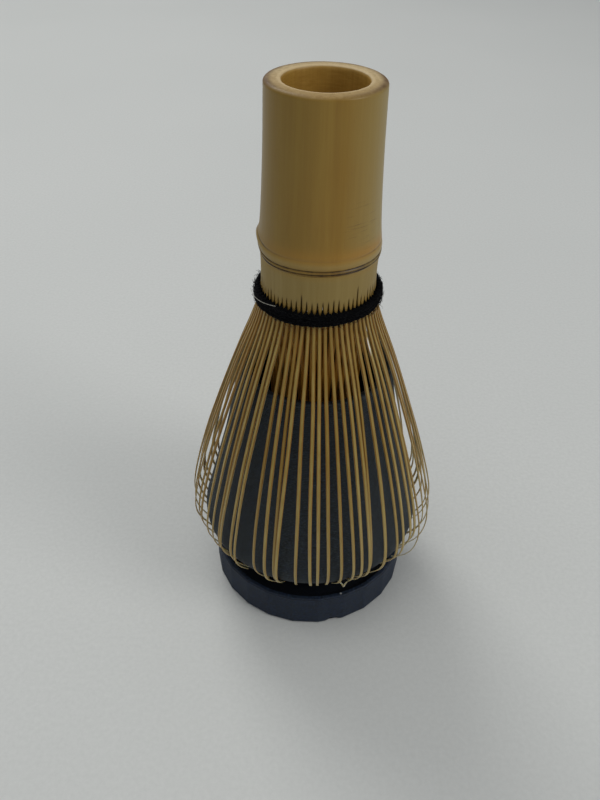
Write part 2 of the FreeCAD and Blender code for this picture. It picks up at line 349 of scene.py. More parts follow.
def tine_material(name, light, mid, deep, edge, tip, rough=0.42):
    m = Mat(name, rough, 0.30)
    u, s, i = m.attr("t_u"), m.attr("t_s"), m.attr("t_id")
    grain = m.noise(m.xyz(m.math("MULTIPLY", u, 5.0), m.math("MULTIPLY", s, 0.22), m.math("MULTIPLY", i, 37.0)), 1.0, 4.0, 0.62)
    blotch = m.noise(m.xyz(0.0, m.math("MULTIPLY", s, 0.16), m.math("MULTIPLY", i, 91.0)), 1.0, 2.0, 0.5)
    col = m.ramp(grain, [(0.30, deep), (0.50, mid), (0.72, light)])
    # each ribbon has its own tone, and changes a little along its length
    col = m.mix(m.span(i, 0.3, 1.0, 0.0, 0.75), col, m.mix(0.7, col, light))
    col = m.mix(m.span(i, 0.0, 0.45, 1.0, 0.0), col, m.mix(0.80, col, deep))
    col = m.mix(m.span(blotch, 0.35, 0.65, 0.45, 0.0), col, deep)
    # the split edges are darker than the skin face; the inner face is paler flesh, painted paler still as painted light
    # against the shade it sits in
    inner = m.attr("t_in")
    side = m.math("MULTIPLY", m.span(m.math("ABSOLUTE", u), 0.50, 0.92, 0.0, 1.0), m.math("SUBTRACT", 1.0, inner))
    col = m.mix(m.math("MULTIPLY", side, m.span(s, 20.0, 60.0, 1.0, 0.75)), col, edge)
    col = m.mix(m.math("MULTIPLY", inner, 0.8), col, m.mix(0.5, light, tip))
    # painted highlight: down the lower half of each tine, one side is painted paler
    col = m.mix(m.math("MULTIPLY", m.span(s, 34.0, 62.0, 0.0, 0.50), m.span(u, -0.75, 0.35, 1.0, 0.35)), col, m.mix(0.35, light, tip))
    col = m.mix(m.span(s, 64.0, 77.0, 0.0, 0.85), col, tip)
    col = m.mix(m.attr("t_pale_patch"), col, (0.92, 0.90, 0.82))
    col = m.mix(m.span(s, 2.0, 9.0, 0.35, 0.0), col, deep)
    m.colour(col)
    m.b.inputs["Subsurface Weight"].default_value = 0.40
    m.b.inputs["Subsurface Radius"].default_value = (1.0, 0.75, 0.35)
    m.b.inputs["Subsurface Scale"].default_value = 0.0006
    m.rough(m.span(grain, 0.3, 0.7, rough - 0.06, rough + 0.10))
    m.bump(grain, 0.35, 0.04)
    return m.m


def thread_material():
    m = Mat("cotton_thread", 0.95, 0.04)
    a = m.noise(m.coords((5200, 5200, 5200)), 1.0, 3.0, 0.7)
    b = m.noise(m.coords((700, 700, 900)), 1.0, 2.0, 0.5)
    col = m.ramp(a, [(0.35, (0.0012, 0.0012, 0.0014)), (0.60, (0.0030, 0.0031, 0.0038)), (0.82, (0.012, 0.013, 0.016))])
    m.colour(m.mix(m.span(b, 0.4, 0.7, 0.0, 0.4), col, (0.005, 0.0055, 0.007)))
    m.b.inputs["Sheen Weight"].default_value = 0.02
    m.b.inputs["Sheen Roughness"].default_value = 0.5
    m.bump(a, 0.6, 0.10)
    return m.m


def fibre_material(name, colour):
    m = Mat(name, 0.8, 0.2)
    a = m.noise(m.coords((2500, 2500, 2500)), 1.0, 2.0, 0.6)
    m.colour(m.mix(m.span(a, 0.3, 0.7, 0.0, 0.6), colour, tuple(c * 0.45 for c in colour)))
    m.bump(a, 0.3, 0.02)
    return m.m


def plastic(name, base, light, period, specks=()):
    m = Mat(name, 0.58, 0.38)
    speck = m.noise(m.coords((1700, 1700, 2400)), 1.0, 3.0, 0.7)
    cloud = m.noise(m.coords((300, 300, 160)), 1.0, 3.0, 0.5)
    wob = m.noise(m.coords((120, 120, 900)), 1.0, 2.0, 0.5)
    wave = m.new("ShaderNodeTexWave", wave_type="BANDS", bands_direction="Z", wave_profile="SIN")
    wave.inputs["Scale"].default_value = TAU / (20.0 * period * MM)
    wave.inputs["Distortion"].default_value = 0.35
    wave.inputs["Detail"].default_value = 1.0
    m.link(m.coords(), wave.inputs["Vector"])
    lines = wave.outputs["Fac"]
    col = m.ramp(speck, [(0.40, base), (0.56, light), (0.68, tuple(min(1, c * 2.0) for c in light))])
    col = m.mix(m.span(cloud, 0.35, 0.7, 0.0, 0.5), col, light)
    col = m.mix(m.span(lines, 0.0, 0.55, 0.80, 0.0), col, tuple(c * 0.40 for c in base))
    tint = m.noise(m.coords((1300, 1300, 1300), location=(0.02, 0.01, 0.03)), 1.0, 2.0, 0.6)
    col = m.mix(m.span(tint, 0.45, 0.65, 0.0, 0.45), col, (light[0] * 0.75, light[1] * 0.85, light[2] * 1.30))
    for point, radius, tone in specks:
        col = m.mix(m.math("MULTIPLY", near(m, point, radius * 0.6, radius), 0.9), col, tone)
    # painted shade: faces marked 'deep', in recesses and hollows, are painted near black
    col = m.mix(m.math("MULTIPLY", m.attr("deep"), 0.8), col, (0.0024, 0.0038, 0.0075))
    m.colour(col)
    m.rough(m.span(speck, 0.3, 0.7, 0.48, 0.70))
    n1 = m.bump(lines, 0.55, 0.08)
    n2 = m.bump(wob, 0.25, 0.05, n1)
    m.bump(speck, 0.45, 0.07, n2)
    return m.m


def floor_material():
    m = Mat("table_top", 0.55, 0.3)
    a = m.noise(m.coords((900, 900, 900)), 1.0, 3.0, 0.6)
    b = m.noise(m.coords((6, 6, 6)), 1.0, 2.0, 0.5)
    col = m.ramp(a, [(0.3, (0.66, 0.672, 0.662)), (0.7, (0.72, 0.732, 0.722))])
    m.colour(m.mix(m.span(b, 0.3, 0.7, 0.0, 0.4), col, (0.64, 0.655, 0.645)))
    m.bump(a, 0.08, 0.05)
    return m.m


M_SKIN = bamboo_skin()
M_FLESH = bamboo_flesh()
M_TINE = tine_material("bamboo_tine", (0.480, 0.385, 0.140), (0.385, 0.275, 0.068), (0.285, 0.160, 0.022),
                       (0.250, 0.098, 0.006), (0.68, 0.62, 0.42))
# inner tines: pale flesh colours, raised further as painted light because they sit in shade behind the outer row
M_INNER = tine_material("bamboo_tine_inner", (0.600, 0.350, 0.070), (0.500, 0.250, 0.036), (0.360, 0.145, 0.014),
                        (0.340, 0.125, 0.008), (0.50, 0.36, 0.13))
M_THREAD = thread_material()
M_FUZZ = fibre_material("thread_fuzz", (0.006, 0.0065, 0.008))
M_LINT = fibre_material("pale_fibre", (0.62, 0.60, 0.52))
M_BASE = plastic("stand_base_plastic", (0.0042, 0.0088, 0.019), (0.0155, 0.0268, 0.048), 0.46,
                 [((8.7, -22.4, 9.45), 0.34, (0.42, 0.43, 0.43))])
M_BULB = plastic("stand_bulb_plastic", (0.0040, 0.0070, 0.0094), (0.025, 0.034, 0.040), 0.44)
M_FLOOR = floor_material()


# ------------------------------------------------------------------ handle
def node_tilt(th, z):
    """The node ring isn't quite level: on the left it climbs."""
    d = np.arctan2(np.sin(th - math.pi), np.cos(th - math.pi))
    lift = 0.10 + 0.10 * np.cos(th) - 0.45 * np.exp(-(d / 0.8) ** 2) + 2.2 * np.exp(-(d / 0.38) ** 2)
    return lift * np.exp(-((z - 94.6) / 4.0) ** 2)


NODE_LINES = ((94.25, 0.20), (94.98, 0.155))
HANDLE = [(93.8, 12.40), (93.9, 12.52), (94.0, 12.58), (94.12, 12.60), (94.2, 12.46), (94.29, 12.42), (94.38, 12.46),
          (94.48, 12.66), (94.62, 12.69), (94.76, 12.66), (94.86, 12.48), (94.96, 12.45), (95.06, 12.48), (95.16, 12.60),
          (95.3, 12.64), (95.6, 12.68), (95.9, 12.69), (96.2, 12.67), (96.5, 12.62), (96.75, 12.54), (96.95, 12.47),
          (97.1, 12.46), (97.25, 12.49), (97.4, 12.50)]
tube = cubic([(97.4, 12.50), (98.9, 12.33), (101.7, 12.11), (106.2, 11.87), (112.6, 11.62), (120.5, 11.42), (126.7, 11.33)], 64)
outer_pts = HANDLE[:-1] + [tuple(p) for p in tube]
TOP, RIM = 127.43, 0.95
for a in np.linspace(0, 90, 9)[1:]:
    t = math.radians(a)
    outer_pts.append((TOP - 0.68 + 0.68 * math.sin(t), 11.33 - RIM + RIM * math.cos(t)))
n_outer = len(outer_pts)
face_pts = [(TOP, r) for r in np.linspace(10.2, 8.55, 9)]
edge_pts = [(TOP - 0.05, 8.36), (TOP - 0.15, 8.22), (TOP - 0.32, 8.10)]
bore_pts = [(z, 8.03) for z in np.linspace(126.9, 96.7, 60)]
end_pts = [(96.6, 8.03), (96.6, 8.58), (95.5, 8.58), (93.8, 8.58)]
loop = outer_pts + face_pts + edge_pts + bore_pts + end_pts
NSEG = 288
th = np.arange(NSEG) * TAU / NSEG
Z = np.array([p[0] for p in loop])[:, None] + np.zeros(NSEG)
R = np.array([p[1] for p in loop])[:, None] + np.zeros(NSEG)
T = np.zeros_like(Z) + th
is_out = (np.arange(len(loop)) < n_outer)[:, None]
wob = 0.045 * np.cos(2 * T + 0.8) + 0.02 * np.cos(3 * T - 1.1 + 0.03 * Z) + 0.012 * np.sin(7 * T + 0.11 * Z)
rim_w = np.exp(-((TOP - Z) / 0.7) ** 2)
chip = sum(noise(k, 21) * np.cos(k * T + 3 * noise(k, 22)) for k in range(5, 40, 3)) * 0.008
R = R + np.where(is_out, wob + chip * rim_w, 0.0)
ridge = np.exp(-(np.arctan2(np.sin(T - math.pi), np.cos(T - math.pi)) / 0.55) ** 2) * np.exp(-((Z - 96.0) / 1.3) ** 2)
R = R + np.where(is_out, 0.30 * ridge, 0.0)
in_bore = (Z < TOP - 0.01) & ~is_out & (Z > 97)
bore_w = sum(noise(k, 31) * np.cos(k * T + 3 * noise(k, 32)) for k in range(2, 30, 2)) * 0.010
R = R + np.where(in_bore, bore_w - 0.02, 0.0)
Z = Z + node_tilt(T, Z) * (Z < 105) + chip * 0.5 * (Z > TOP - 0.001)
verts = np.stack([R * np.cos(T), R * np.sin(T), Z], -1).reshape(-1, 3)
faces = grid_faces(len(loop), NSEG, wrap_rows=True)
zf = np.array([p[0] for p in loop])[:, None] + np.zeros(NSEG)
line = sum(np.exp(-((zf - z0) / w) ** 2) for z0, w in NODE_LINES)
line = line + 0.55 * np.exp(-((zf - 97.02) / 0.13) ** 2) * smooth(0.35, 0.95, np.abs(np.cos(T)))
wig = 0.5 + 0.5 * np.sin(9 * T + 1.0) * np.sin(23 * T + 0.3)
line = line * (0.72 + 0.28 * wig) + 0.30 * np.exp(-((zf - 94.62) / 0.32) ** 2) * smooth(0.2, 1.0, np.cos(T + 0.75))
line = line * (1 + 0.8 * np.exp(-(np.arctan2(np.sin(T - math.pi), np.cos(T - math.pi)) / 0.7) ** 2))
line = np.clip(np.where(is_out, line, 0), 0, 1)
radial = smooth(9.5, 10.9, R) * (zf > TOP - 0.9)
radial = radial * np.clip(0.42 + 0.80 * np.abs(np.cos(T)) ** 1.2 + 0.42 * np.sin(T), 0, 1)
shoulder = np.where(is_out, np.exp(-((zf - 96.0) / 0.75) ** 2), 0)
blush = np.where(is_out, np.exp(-((zf - 97.6) / 1.6) ** 2) * (0.15 + 0.85 * smooth(-0.1, 0.95, np.cos(T + 1.15))), 0)
cut = np.where(is_out, smooth(TOP - 0.42, TOP - 0.08, zf), (zf > TOP - 0.2) * 1.0)
rimskin = np.where(is_out, np.exp(-((zf - (TOP - 0.34)) / 0.26) ** 2), 0) * np.clip(0.12 + 0.6 * np.abs(np.cos(T)) ** 2 + 0.8 * np.sin(T), 0.10, 1)
bore = np.where(~is_out & (zf < TOP - 0.2), 1.0, 0.0)
handle = make("handle", verts, faces, "whisk", M_SKIN,
              {"line": line.ravel(), "blush": blush.ravel(), "cut": cut.ravel(), "rimskin": rimskin.ravel(), "bore": bore.ravel(),
               "radial": radial.ravel(), "shoulder": shoulder.ravel(),
               "lip_highlight": (smooth(9.15, 8.55, R) * (zf > TOP - 0.4) * ~is_out).ravel()},
              ["handle_culm"])
sharpen(handle, 50)

# ------------------------------------------------------------------ root zone with its splits
N, PHASE = 70, 1.04
ROOT_Z, ROOT_TOP, ROOT_BORE = 84.9, 93.8, 9.9
SPLIT_W, SPLIT_H = 0.44, 3.2
rows_z = np.r_[np.arange(84.9, 90.6, 0.16), np.arange(90.6, 93.81, 0.4), [93.8]]
rows_z = np.unique(np.round(rows_z, 4))
root_r = np.interp(rows_z, *zip(*[tuple(p) for p in cubic([(84.9, 12.24), (88.0, 12.17), (91.4, 12.20), (93.8, 12.40)], 60)]))
COLS = 9
verts, faces, gap_a, warm_a = [], [], [], []
half_pitch = math.pi / N


def split_state(i):
    h = SPLIT_H + 0.7 * noise(i, 3) + (1.6 if i % 11 == 4 else 0.0)
    w = SPLIT_W * (1 + 0.2 * noise(i, 4)) / 2
    return h, w


for i in range(N):
    centre = TAU * (i + 1 + PHASE) / N      # middle of the tab between split i and split i + 1
    hl, wl = split_state(i)
    hr, wr = split_state((i + 1) % N)
    for side, base_r in ((0, None), (1, ROOT_BORE)):
        base = len(verts)
        for j, z in enumerate(rows_z):
            ll = max(0.0, wl * (1 - (z - ROOT_Z) / hl)) ** 0.8 * wl ** 0.2
            rr = max(0.0, wr * (1 - (z - ROOT_Z) / hr)) ** 0.8 * wr ** 0.2
            if side == 1:                     # higher up, a split is a groove that doesn't reach the bore
                ll, rr = ll * float(smooth(86.3, 85.7, z)), rr * float(smooth(86.3, 85.7, z))
            r = root_r[j] if side == 0 else base_r
            a0 = centre - half_pitch + 1.38 * ll / 12.1
            a1 = centre + half_pitch - 1.38 * rr / 12.1
            for k in range(COLS):
                f = k / (COLS - 1)
                a = a0 + (a1 - a0) * f
                crown = 0.0
                if side == 0:
                    open_ = smooth(ROOT_Z + max(hl, hr) + 0.4, ROOT_Z, z)
                    crown = 0.07 * open_ * (1 - (2 * f - 1) ** 2) - 0.05 * open_
                    crown += 0.035 * math.cos(5 * centre + 0.6) * 0.5
                zz = z + float(node_tilt(np.array(a), np.array(z))) * float(smooth(88.5, 93.0, z))
                verts.append(((r + crown) * math.cos(a), (r + crown) * math.sin(a), zz))
                # painted shade along the edges of each split, stronger on the bore side
                near_l = math.exp(-((a - (centre - half_pitch)) * 12.1 / 0.16) ** 2) * float(smooth(ROOT_Z + hl + 0.5, ROOT_Z + hl - 1.2, z))
                near_r = math.exp(-((a - (centre + half_pitch)) * 12.1 / 0.16) ** 2) * float(smooth(ROOT_Z + hr + 0.5, ROOT_Z + hr - 1.2, z))
                gap_a.append(min(1.0, (near_l + near_r) * (1.0 if side == 0 else 1.3)) * (0.85 if side == 0 else 1.0))
                warm_a.append(float(smooth(92.2, 93.8, z)) * 0.4 + 0.65 * float(smooth(88.2, 85.4, z)))
        R_ = len(rows_z)
        faces += grid_faces(R_, COLS, wrap_cols=False, base=base, flip=(side == 1))
    o, n_ = base - R_ * COLS, base
    for j in range(R_ - 1):
        for k, flip in ((0, True), (COLS - 1, False)):
            q = (o + j * COLS + k, n_ + j * COLS + k, n_ + (j + 1) * COLS + k, o + (j + 1) * COLS + k)
            h, w = (hl, wl) if k == 0 else (hr, wr)
            if rows_z[j] < ROOT_Z + h:
                faces.append(q[::-1] if flip else q)
    for j in (0, R_ - 1):
        for k in range(COLS - 1):
            q = (o + j * COLS + k, o + j * COLS + k + 1, n_ + j * COLS + k + 1, n_ + j * COLS + k)
            faces.append(q if j else q[::-1])
root = make("root_zone", verts, faces, "whisk", M_FLESH, {"gap": gap_a, "warm": warm_a}, ["root_collar"], weld=0.004)
sharpen(root, 40)

# ------------------------------------------------------------------ tines
OUTER_PATH = [(84.7, 12.45), (82.6, 12.55), (80.0, 13.2), (76.0, 14.65), (72.0, 16.25), (64.0, 19.25), (56.0, 22.0),
              (48.0, 24.6), (40.0, 26.85), (33.0, 28.55), (27.5, 29.5), (24.0, 29.6), (21.3, 28.85), (18.6, 27.3),
              (16.0, 25.35), (14.0, 23.75), (12.9, 22.8)]
LOOSE_PATH = [(84.7, 12.45), (82.6, 12.55), (80.0, 13.2), (76.0, 14.65), (72.0, 16.25), (64.0, 19.25), (56.0, 22.0),
              (48.0, 24.7), (40.0, 27.2), (33.0, 29.2), (27.5, 30.5), (23.0, 30.9), (19.0, 30.4), (16.0, 29.3),
              (14.0, 27.9), (12.4, 26.2), (11.4, 24.6)]
INNER_A = [(84.9, 10.85), (82.0, 10.85), (78.0, 10.75), (70.0, 10.4), (60.0, 9.9), (50.0, 9.3), (40.0, 8.6), (32.0, 7.9),
           (26.0, 7.0), (22.5, 6.2)]
INNER_B = [(84.9, 10.85), (82.0, 10.85), (78.0, 10.65), (70.0, 9.9), (60.0, 9.0), (50.0, 8.1), (40.0, 7.2), (32.0, 6.3),
           (26.0, 5.3), (23.5, 4.7)]
SWING_Z = 83.2
FRONT = {45: -1.2, 46: 1.36, 47: 2.1, 48: 1.4, 49: -0.8, 50: 1.2, 51: 1.9, 52: 1.05, 53: 0.8, 54: 1.3, 55: 1.55,
         56: 1.0, 57: 0.5, 58: -1.6, 59: -0.9, 60: 0.8, 61: 0.0, 62: 1.6}
MAX_STEP = 0.86
lean0 = [FRONT.get(i, 1.2 * noise(i, 1)) for i in range(N)]
lean = list(lean0)
for _ in range(60):
    for i in range(N):
        j = (i + 1) % N
        d = lean[j] - lean[i]
        if abs(d) > MAX_STEP:
            half = (abs(d) - MAX_STEP) / 2 * (1 if d > 0 else -1)
            lean[i] += half
            lean[j] -= half
BULGE = [(85.0, 0.0), (81.0, 0.0), (72.0, 0.3), (56.0, 0.7), (40.0, 1.0), (27.5, 1.0), (21.3, 0.6), (17.0, 0.15), (12.0, 0.0)]
PALE_PATCH_TINE = 61
# across the ribbon: (u, v) with u sideways and v outwards, and 1 where the face looks inwards
SECTION = [(-0.86, 0.50, 0), (-0.45, 0.57, 0), (0.0, 0.60, 0), (0.45, 0.57, 0), (0.86, 0.50, 0), (0.985, 0.34, 0),
           (1.0, -0.10, 0.5), (0.94, -0.42, 1), (0.60, -0.50, 1), (0.0, -0.52, 1), (-0.60, -0.50, 1), (-0.94, -0.42, 1),
           (-1.0, -0.10, 0.5), (-0.985, 0.34, 0)]


def ribbon(path, n, width, thick, azimuth, lean_deg, root_r_, ident, wobble, hook=None, twist=0.0):
    """Vertices, faces and attributes of one tine. width and thick are tables by share of length."""
    p = cubic(path, n)
    z, r = p[:, 0], p[:, 1]
    s = np.r_[0, np.cumsum(np.hypot(np.diff(z), np.diff(r)))]
    share = s / s[-1]
    tz, tr = np.gradient(z), np.gradient(r)
    ln = np.hypot(tz, tr)
    tz, tr = tz / ln, tr / ln
    side = wobble * (np.sin(share * 5.2 + 6 * noise(ident, 41)) * 0.6 + np.sin(share * 11.0 + 6 * noise(ident, 42)) * 0.4) * smooth(0.06, 0.3, share)
    if hook is not None:
        side = side + hook[0] * smooth(hook[1], 1.0, share) ** 1.5
        z = z + hook[2] * smooth(hook[1], 1.0, share) ** 2.2
    c = np.stack([r, side, z], -1)
    nrm = np.stack([-tz, np.zeros(n), tr], -1)
    nrm *= np.sign(nrm[0, 0]) or 1
    tan = np.stack([np.zeros(n), np.ones(n), np.zeros(n)], -1)
    tw = np.radians(twist) * smooth(0.1, 0.9, share)
    c1, s1 = np.cos(tw)[:, None], np.sin(tw)[:, None]
    tan, nrm = tan * c1 + nrm * s1, nrm * c1 - tan * s1
    w = np.interp(share, *zip(*width)) / 2
    t = np.interp(share, *zip(*thick))
    rows = []
    for k in range(n):
        rows.append([c[k] + tan[k] * u * w[k] + nrm[k] * v * t[k] for u, v, _ in SECTION])
    q = np.array(rows).reshape(-1, 3)
    a = math.radians(lean_deg)
    y, zz = q[:, 1].copy(), q[:, 2] - SWING_Z
    q[:, 1] = y * math.cos(a) - zz * math.sin(a)
    q[:, 2] = y * math.sin(a) + zz * math.cos(a) + SWING_Z
    ca, sa = math.cos(azimuth), math.sin(azimuth)
    q = np.stack([q[:, 0] * ca - q[:, 1] * sa, q[:, 0] * sa + q[:, 1] * ca, q[:, 2]], -1)
    m_ = len(SECTION)
    f = grid_faces(n, m_)
    f = [x[::-1] for x in f]
    f.append(tuple(range(m_)))
    f.append(tuple(range((n - 1) * m_, n * m_))[::-1])
    uu = np.tile([x[0] for x in SECTION], n)
    vv = np.tile([x[2] for x in SECTION], n)
    ss = np.repeat(s, m_)
    # one tine carries a short near-white patch on its skin face
    pale_patch = smooth(6.6, 7.4, ss) * smooth(10.6, 9.6, ss) * (vv < 0.2) * (np.abs(uu + 0.25) < 0.35) * (ident == PALE_PATCH_TINE)
    return q, f, uu, vv, ss, np.full(n * m_, 0.5 + 0.5 * noise(ident, 51)), pale_patch


def bundle(name, parts, body, material, replaced):
    verts_, faces_, at = [], [], {"t_u": [], "t_in": [], "t_s": [], "t_id": [], "t_pale_patch": []}
    for q, f, uu, vv, ss, ii, sc in parts:
        b0 = sum(len(v) for v in verts_)
        verts_.append(q)
        faces_ += [tuple(x + b0 for x in g) for g in f]
        for key, arr in zip(("t_u", "t_in", "t_s", "t_id", "t_pale_patch"), (uu, vv, ss, ii, sc)):
            at[key].append(arr)
    ob = make(name, np.concatenate(verts_), faces_, body, material, {k: np.concatenate(v) for k, v in at.items()}, [replaced])
    sharpen(ob, 60)
    return ob


def outer_tine(i):
    bulge = 0.55 * noise(i, 2)
    loose = i in (64, 66, 67, 69)
    base = LOOSE_PATH if loose else OUTER_PATH
    if loose:
        bulge = {64: -0.2, 66: 0.25, 67: -0.45, 69: 0.1}[i]
    path = [(z, r + bulge * float(table(BULGE, z))) for z, r in base]
    keep = len(path) - (2 if noise(i, 5) > 0.55 else 1 if noise(i, 5) > -0.1 else 0)
    path = path[:keep] if not loose else path
    # neighbours that lean onto each other are staggered outwards a little
    extra = lean0[i] - lean[i]
    real = lean[i] + 0.8 * extra
    if abs(extra) > 0.25:
        path = [(z, r + (0.22 if i % 2 else -0.10) * float(smooth(80, 68, z))) for z, r in path]
    wscale = 1.0 + 0.13 * noise(i, 8)
    width = [(0, 0.74), (0.06, 0.74), (0.25, 0.78 * wscale), (0.50, 0.80 * wscale), (0.70, 0.73 * wscale), (0.86, 0.64 * wscale), (0.95, 0.54), (0.985, 0.42), (1, 0.24)]
    if loose:
        width = [(0, 0.80), (0.06, 0.80), (0.25, 0.82), (0.50, 0.72), (0.66, 0.52), (0.82, 0.32), (1, 0.16)]
    thick = [(0, 0.50), (0.1, 0.50), (0.3, 0.42), (0.6, 0.34), (0.85, 0.24), (1, 0.12)]
    hook = (0.5 * noise(i, 9), 0.86, 0.0)
    if i == 55:
        path = [(z, r) for z, r in path if z > 18] + [(16.0, 25.7), (14.0, 24.7), (12.4, 24.1), (11.8, 23.85), (12.3, 23.6), (13.6, 23.3), (14.6, 23.1)]
        hook = (-1.6, 0.955, 0.0)
    return ribbon(path, 220 if i == 55 else 84, width, thick, TAU * (i + PHASE) / N, real, 12.45, i, 0.10 + 0.06 * noise(i, 10), hook, 15.0 * noise(i, 11))


def inner_tine(i):
    path = INNER_A if i % 2 == 0 else INNER_B
    d = 0.2 * noise(i, 6)
    path = [(z, r + d * float(table([(80.0, 0.0), (60.0, 1.0)], z))) for z, r in path]
    width = [(0, 0.62), (0.3, 0.66), (0.8, 0.5), (1, 0.22)]
    thick = [(0, 0.45), (0.6, 0.30), (1, 0.12)]
    return ribbon(path, 40, width, thick, TAU * (i + PHASE + 0.5) / N, 0.2 * noise(i, 7), 10.85, 200 + i, 0.12, None, 10.0 * noise(i, 12))


for g in range(14):
    bundle("outer_row_%02d" % (g + 1), [outer_tine(i) for i in range(g * 5, g * 5 + 5)],
           "tines_%02d" % (g + 1), M_TINE, "outer_tines_%02d" % (g + 1))
for g in range(7):
    bundle("inner_row_%02d" % (g + 1), [inner_tine(i) for i in range(g * 10, g * 10 + 10)],
           "whisk", M_INNER, "inner_tines_%02d" % (g + 1))


# ------------------------------------------------------------------ lashing
def tube_along(points, radius, sides, closed=False, lobes=0, lobe_depth=0.0, lobe_turns=0.0, phase=0.0):
    """A tube round a path, with a twisted-ply section if lobes are given. radius is a number or an array."""
    p = np.asarray(points, float)
    n = len(p)
    t = (np.roll(p, -1, 0) - np.roll(p, 1, 0)) if closed else np.gradient(p, axis=0)
    t /= np.linalg.norm(t, axis=1)[:, None]
    ref = np.array([0.0, 0.0, 1.0])
    if abs(t[:, 2]).max() > 0.9:
        ref = np.array([0.35, 0.8, 0.49])
    a = np.cross(t, ref)
    a /= np.linalg.norm(a, axis=1)[:, None]
    b = np.cross(t, a)
    rad = np.broadcast_to(np.asarray(radius, float), (n,))
    phi = np.arange(sides) * TAU / sides
    out = np.empty((n, sides, 3))
    for k in range(n):
        rr = rad[k] * (1 + (lobe_depth * np.cos(lobes * (phi - TAU * lobe_turns * k / n) + phase) if lobes else 0))
        out[k] = p[k] + np.outer(rr * np.cos(phi), a[k]) + np.outer(rr * np.sin(phi), b[k])
    f = grid_faces(n, sides, wrap_rows=closed)
    if not closed:
        f.append(tuple(range(sides))[::-1])
        f.append(tuple(range((n - 1) * sides, n * sides)))
    return out.reshape(-1, 3), f


class Pile:
    def __init__(self):
        self.v, self.f, self.n = [], [], 0

    def add(self, v, f):
        self.v.append(v)
        self.f += [tuple(x + self.n for x in g) for g in f]
        self.n += len(v)


pile = Pile()
TURNS = 3
steps = 420 * TURNS
u = np.linspace(0, 1, steps)
ang = math.radians(126.0) + u * TAU * (TURNS - 0.2)
zc = 83.22 + u * 2.12
rc = 13.17 + 0.05 * np.sin(ang * 9 + 1.3) + 0.03 * np.sin(ang * 23)
zc = zc + 0.05 * np.sin(ang * 5 + 0.7) + 0.45 * np.cos(ang + 0.25) * 0.55
path = np.stack([rc * np.cos(ang), rc * np.sin(ang), zc], -1)
v, f = tube_along(path, 0.50, 20, lobes=2, lobe_depth=0.10, lobe_turns=70)
pile.add(v, f)
# short loops that dip between the tabs, where the thread passes from row to row
for i in range(N):
    a = TAU * (i + PHASE + 0.5) / N
    k = np.linspace(-1, 1, 9)
    aa = a + k * 0.030
    zz = 85.45 + 0.45 * 0.55 * math.cos(a + 0.25) + 0.34 * (1 - k ** 2) + 0.10 * noise(i, 61)
    rr = 12.75 + 0.32 * k ** 2
    pts = np.stack([rr * np.cos(aa), rr * np.sin(aa), zz - 0.25], -1)
    v, f = tube_along(pts, 0.34, 8)
    pile.add(v, f)
for i in range(N):
    a = TAU * (i + PHASE + 0.5) / N
    top_ = 86.15 + 0.45 * noise(i, 62) + 0.25 * math.cos(a + 0.25)
    zz = np.array([84.5, 85.1, 85.6, (85.6 + top_) / 2 + 0.05, top_])
    aa = a + 0.010 * noise(i, 63) * np.linspace(0, 1, 5)
    rr = np.array([12.45, 12.42, 12.36, 12.28, 12.20])
    v, f = tube_along(np.stack([rr * np.cos(aa), rr * np.sin(aa), zz], -1), np.array([0.40, 0.38, 0.30, 0.17, 0.05]), 8)
    pile.add(v, f)
lash = make("lashing", np.concatenate(pile.v), pile.f, "whisk", M_THREAD, None, ["thread_windings"])

rng = np.random.default_rng(7)
fuzz = Pile()
for k in range(1500):
    a = rng.uniform(0, TAU)
    z0 = rng.uniform(82.8, 85.7) + 0.25 * math.cos(a + 0.25)
    r0 = 13.28 + math.sqrt(max(0.02, 0.22 - (abs(z0 - 84.28) > 1.0) * 0.1)) * rng.uniform(0.7, 1.0)
    ln = rng.uniform(0.45, 1.2) * (1.9 if k % 15 == 0 else 1.0)
    d1, d2 = rng.uniform(-1, 1), rng.uniform(-0.9, 0.9)
    q = np.linspace(0, 1, 5)
    rr = r0 + 0.55 * ln * q * rng.uniform(0.25, 1.0) - 0.10 * q ** 2
    aa = a + d1 * ln * q / 14 + 0.25 * rng.uniform(-1, 1) * ln * q ** 2 / 14
    zz = z0 + d2 * ln * q * 0.7 + 0.2 * rng.uniform(-1, 1) * q ** 2
    v, f = tube_along(np.stack([rr * np.cos(aa), rr * np.sin(aa), zz], -1), np.linspace(0.050, 0.018, 5), 3)
    fuzz.add(v, f)
fuzz_ob = make("lashing_fuzz", np.concatenate(fuzz.v), fuzz.f, "whisk", M_FUZZ)

# one pale fibre caught on the left of the lashing
q = np.linspace(0, 1, 14)
aa = np.radians(180 + 52 * q)
rr = 13.98 + 0.5 * np.exp(-q * 6) - 0.30 * q ** 2
zz = 83.75 + 2.35 * q - 0.15 * np.sin(q * 3.1)
lint_v, lint_f = tube_along(np.stack([rr * np.cos(aa), rr * np.sin(aa), zz], -1), 0.05, 5)
lint = make("caught_fibre", lint_v, lint_f, "whisk", M_LINT)

